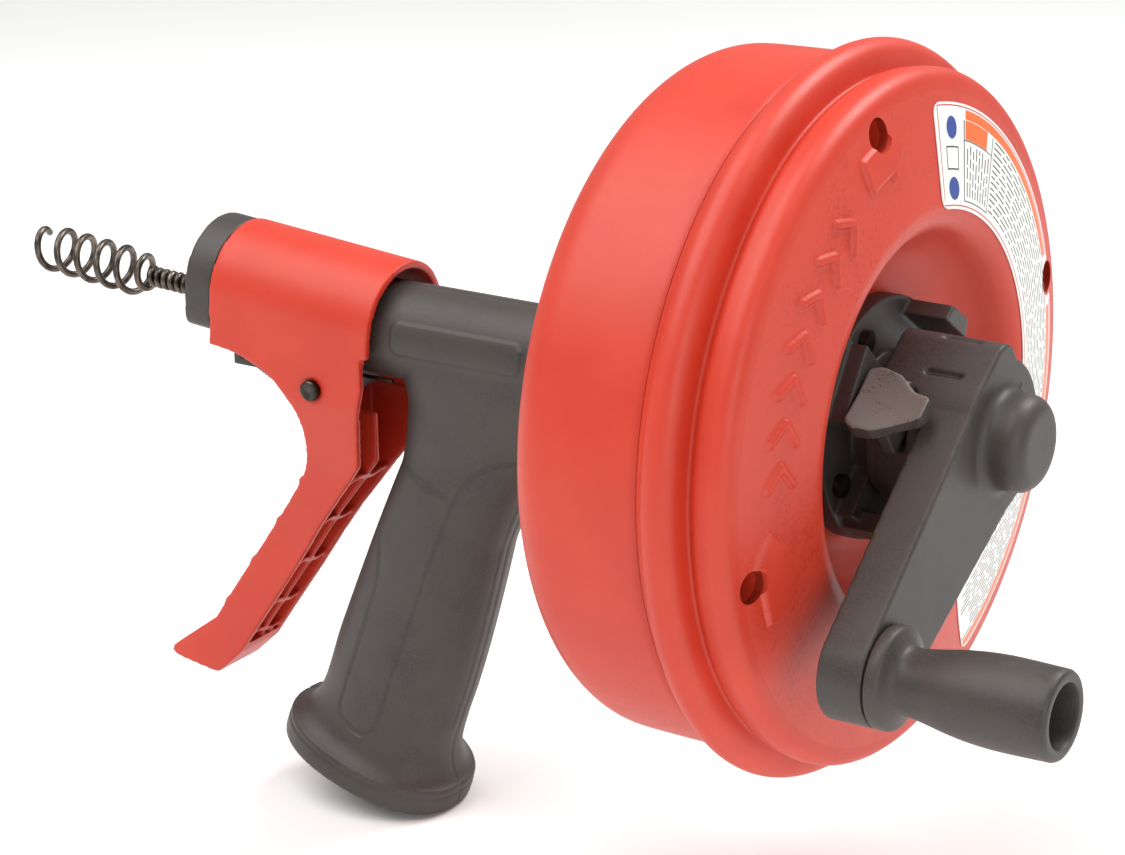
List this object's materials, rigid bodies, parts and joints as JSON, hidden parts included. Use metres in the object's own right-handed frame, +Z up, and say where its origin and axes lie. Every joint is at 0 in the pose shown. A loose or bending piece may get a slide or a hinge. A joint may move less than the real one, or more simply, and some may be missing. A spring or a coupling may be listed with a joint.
{
  "type": "drain snake machine",
  "caption": "Hand-held drum drain snake: pistol grip, squeeze trigger with a tipping nose, round drum with a coiled cable, bulb auger and a pull-off crank on a hex shank.",
  "frame": {"origin": "on the drum's spin axis, at the root of the hex drive shank where it leaves the hub", "axes": "+X along the drum's axis to the rear, away from the nose; +Z up, away from the grip; +Y to the user's right"},
  "size_m": [0.3681, 0.198, 0.2445],
  "materials": {
    "grip_plastic": "moulded glass-filled plastic, matte charcoal",
    "red_plastic": "moulded plastic, satin red with a fine grain",
    "screw_steel": "zinc-plated steel",
    "pin_steel": "black-oxide steel",
    "tube_steel": "drawn steel tube",
    "shank_steel": "ground hex steel",
    "roller_steel": "hardened steel",
    "spring_steel": "spring wire",
    "cable_steel": "oiled wound spring wire",
    "bush_plastic": "acetal bush",
    "label_paper": "printed vinyl label"
  },
  "bodies": {
    "housing": {"grip_left": "grip_plastic", "grip_right": "grip_plastic", "housing_screws": "screw_steel", "guide_tube": "tube_steel", "feed_head": "grip_plastic", "lower_axles": "screw_steel", "trigger_pin": "pin_steel", "pin_clip": "screw_steel", "trigger_spring": "spring_steel", "thrust_washer": "screw_steel", "retaining_ring": "screw_steel"},
    "drum": {"drum_front": "red_plastic", "drum_rear": "red_plastic", "drum_bush": "bush_plastic", "drum_screws": "screw_steel", "drive_hub": "grip_plastic", "drive_shank": "shank_steel", "hub_screws": "screw_steel", "rating_label": "label_paper", "cable_coil": "cable_steel", "cable_inlet": "cable_steel", "cable_clip": "screw_steel"},
    "trigger": {"trigger": "red_plastic", "nose_ring": "grip_plastic", "upper_axle": "screw_steel"},
    "upper_roller": {"upper_roller": "roller_steel"},
    "lower_roller_near": {"lower_roller_near": "roller_steel"},
    "lower_roller_far": {"lower_roller_far": "roller_steel"},
    "crank": {"crank_arm": "grip_plastic", "knob_axle": "screw_steel", "knob_nut": "screw_steel", "latch_springs": "spring_steel"},
    "latch_near": {"latch_near": "grip_plastic"},
    "latch_far": {"latch_far": "grip_plastic"},
    "knob": {"crank_knob": "grip_plastic"},
    "cable": {"cable_lead": "cable_steel", "bulb_auger": "cable_steel"}
  },
  "joints": [
    {"name": "drum_spin", "type": "hinge", "parent": "housing", "child": "drum", "pos_m": [0, 0, 0], "axis": [1, 0, 0], "continuous": true},
    {"name": "trigger_squeeze", "type": "hinge", "parent": "housing", "child": "trigger", "pos_m": [-0.1729, 0, -0.0162], "axis": [0, -1, 0], "range_deg": [0, 5], "stiffness_Nm_per_rad": 2, "springref_deg": -8.59, "deforming": ["trigger_spring"]},
    {"name": "upper_roller_spin", "type": "hinge", "parent": "trigger", "child": "upper_roller", "pos_m": [-0.19376, 0, 0.01039], "axis": [0.9623, 0.2588, -0.0842], "continuous": true},
    {"name": "lower_roller_near_spin", "type": "hinge", "parent": "housing", "child": "lower_roller_near", "pos_m": [-0.196, -0.00734, -0.00424], "axis": [0.9659, -0.1294, 0.2241], "continuous": true},
    {"name": "lower_roller_far_spin", "type": "hinge", "parent": "housing", "child": "lower_roller_far", "pos_m": [-0.196, 0.00734, -0.00424], "axis": [0.9659, -0.1294, -0.2241], "continuous": true},
    {"name": "crank_pull", "type": "slide", "parent": "drum", "child": "crank", "axis": [1, 0, 0], "range_m": [0, 0.042]},
    {"name": "latch_near_squeeze", "type": "slide", "parent": "crank", "child": "latch_near", "axis": [0, 0.5736, -0.8192], "range_m": [0, 0.0016], "stiffness_N_per_m": 2000, "springref_m": -0.001, "deforming": ["latch_springs"]},
    {"name": "latch_far_squeeze", "type": "slide", "parent": "crank", "child": "latch_far", "axis": [0, -0.5736, 0.8192], "range_m": [0, 0.0016], "stiffness_N_per_m": 2000, "springref_m": -0.001, "deforming": ["latch_springs"]},
    {"name": "knob_spin", "type": "hinge", "parent": "crank", "child": "knob", "pos_m": [0, -0.06144, -0.04302], "axis": [1, 0, 0], "continuous": true},
    {"name": "cable_feed", "type": "slide", "parent": "drum", "child": "cable", "axis": [-1, 0, 0], "range_m": [0, 0.12]}
  ]
}
